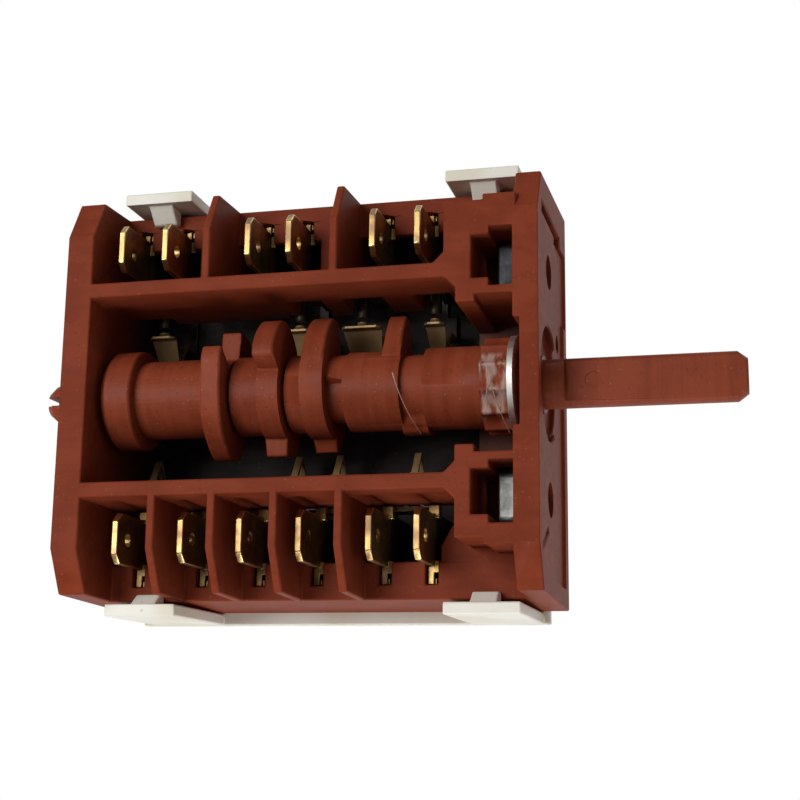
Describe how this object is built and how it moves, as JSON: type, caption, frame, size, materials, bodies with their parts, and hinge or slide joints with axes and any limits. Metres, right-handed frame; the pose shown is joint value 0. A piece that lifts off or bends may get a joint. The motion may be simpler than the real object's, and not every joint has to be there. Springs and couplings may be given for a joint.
{
  "type": "oven selector switch",
  "caption": "Rotary cam selector switch: open moulded frame with a moulded camshaft and D-shaped spindle, rows of push-on tabs, captive square nuts and a clipped white back cover",
  "frame": {"origin": "on the camshaft's axis, in the plane of the plate's outer mounting face", "axes": "+X along the spindle, out of the mounting face; +Z out of the open contact side; +Y to the upper row of tabs"},
  "size_m": [0.0883, 0.055, 0.0256],
  "materials": {
    "thermoset": "red-brown mineral-filled moulding, faint sheen",
    "base_thermoset": "darker red-brown insulating plate",
    "cover_plastic": "off-white moulded cover",
    "camshaft_thermoset": "red-brown moulding, smooth on the cams",
    "washer_steel": "bright stamped steel",
    "nut_zinc": "zinc-plated steel",
    "ball_steel": "polished bearing steel",
    "spring_steel": "drawn spring wire",
    "terminal_brass": "stamped brass, slightly dulled",
    "leaf_bronze": "rolled bronze strip"
  },
  "bodies": {
    "frame": {"housing": "thermoset", "base_plate": "base_thermoset", "back_cover": "cover_plastic", "captive_nuts": "nut_zinc", "detent_ball": "ball_steel", "detent_spring": "spring_steel", "terminal_upper_1": "terminal_brass", "terminal_upper_2": "terminal_brass", "terminal_upper_3": "terminal_brass", "terminal_upper_4": "terminal_brass", "terminal_upper_5": "terminal_brass", "terminal_upper_6": "terminal_brass", "terminal_lower_1": "terminal_brass", "terminal_lower_2": "terminal_brass", "terminal_lower_3": "terminal_brass", "terminal_lower_4": "terminal_brass", "terminal_lower_5": "terminal_brass", "terminal_lower_6": "terminal_brass"},
    "selector": {"camshaft": "camshaft_thermoset", "thrust_washer": "washer_steel"},
    "leaf_upper_1": {"leaf_upper_1": "leaf_bronze"},
    "leaf_upper_2": {"leaf_upper_2": "leaf_bronze"},
    "leaf_upper_3": {"leaf_upper_3": "leaf_bronze"},
    "leaf_upper_4": {"leaf_upper_4": "leaf_bronze"},
    "leaf_lower_1": {"leaf_lower_1": "leaf_bronze"},
    "leaf_lower_2": {"leaf_lower_2": "leaf_bronze"},
    "leaf_lower_3": {"leaf_lower_3": "leaf_bronze"},
    "leaf_lower_4": {"leaf_lower_4": "leaf_bronze"}
  },
  "joints": [
    {"name": "selector_turn", "type": "hinge", "parent": "frame", "child": "selector", "pos_m": [0, 0, 0], "axis": [1, 0, 0], "continuous": true},
    {"name": "leaf_upper_1_flex", "type": "hinge", "parent": "frame", "child": "leaf_upper_1", "pos_m": [-0.0524, 0.00967, -0.0129], "axis": [-1, 0, 0], "range_deg": [0, 4.6], "stiffness_Nm_per_rad": 0.05},
    {"name": "leaf_upper_2_flex", "type": "hinge", "parent": "frame", "child": "leaf_upper_2", "pos_m": [-0.0334, 0.00967, -0.0129], "axis": [-1, 0, 0], "range_deg": [0, 4.6], "stiffness_Nm_per_rad": 0.05},
    {"name": "leaf_upper_3_flex", "type": "hinge", "parent": "frame", "child": "leaf_upper_3", "pos_m": [-0.025, 0.00967, -0.0129], "axis": [-1, 0, 0], "range_deg": [0, 4.6], "stiffness_Nm_per_rad": 0.05},
    {"name": "leaf_upper_4_flex", "type": "hinge", "parent": "frame", "child": "leaf_upper_4", "pos_m": [-0.0154, 0.00967, -0.0129], "axis": [-1, 0, 0], "range_deg": [0, 4.6], "stiffness_Nm_per_rad": 0.05},
    {"name": "leaf_lower_1_flex", "type": "hinge", "parent": "frame", "child": "leaf_lower_1", "pos_m": [-0.0533, -0.00967, -0.0129], "axis": [1, 0, 0], "range_deg": [0, 4.6], "stiffness_Nm_per_rad": 0.05},
    {"name": "leaf_lower_2_flex", "type": "hinge", "parent": "frame", "child": "leaf_lower_2", "pos_m": [-0.0338, -0.00967, -0.0129], "axis": [1, 0, 0], "range_deg": [0, 4.6], "stiffness_Nm_per_rad": 0.05},
    {"name": "leaf_lower_3_flex", "type": "hinge", "parent": "frame", "child": "leaf_lower_3", "pos_m": [-0.0283, -0.00967, -0.0129], "axis": [1, 0, 0], "range_deg": [0, 4.6], "stiffness_Nm_per_rad": 0.05},
    {"name": "leaf_lower_4_flex", "type": "hinge", "parent": "frame", "child": "leaf_lower_4", "pos_m": [-0.018, -0.00967, -0.0129], "axis": [1, 0, 0], "range_deg": [0, 4.6], "stiffness_Nm_per_rad": 0.05}
  ]
}
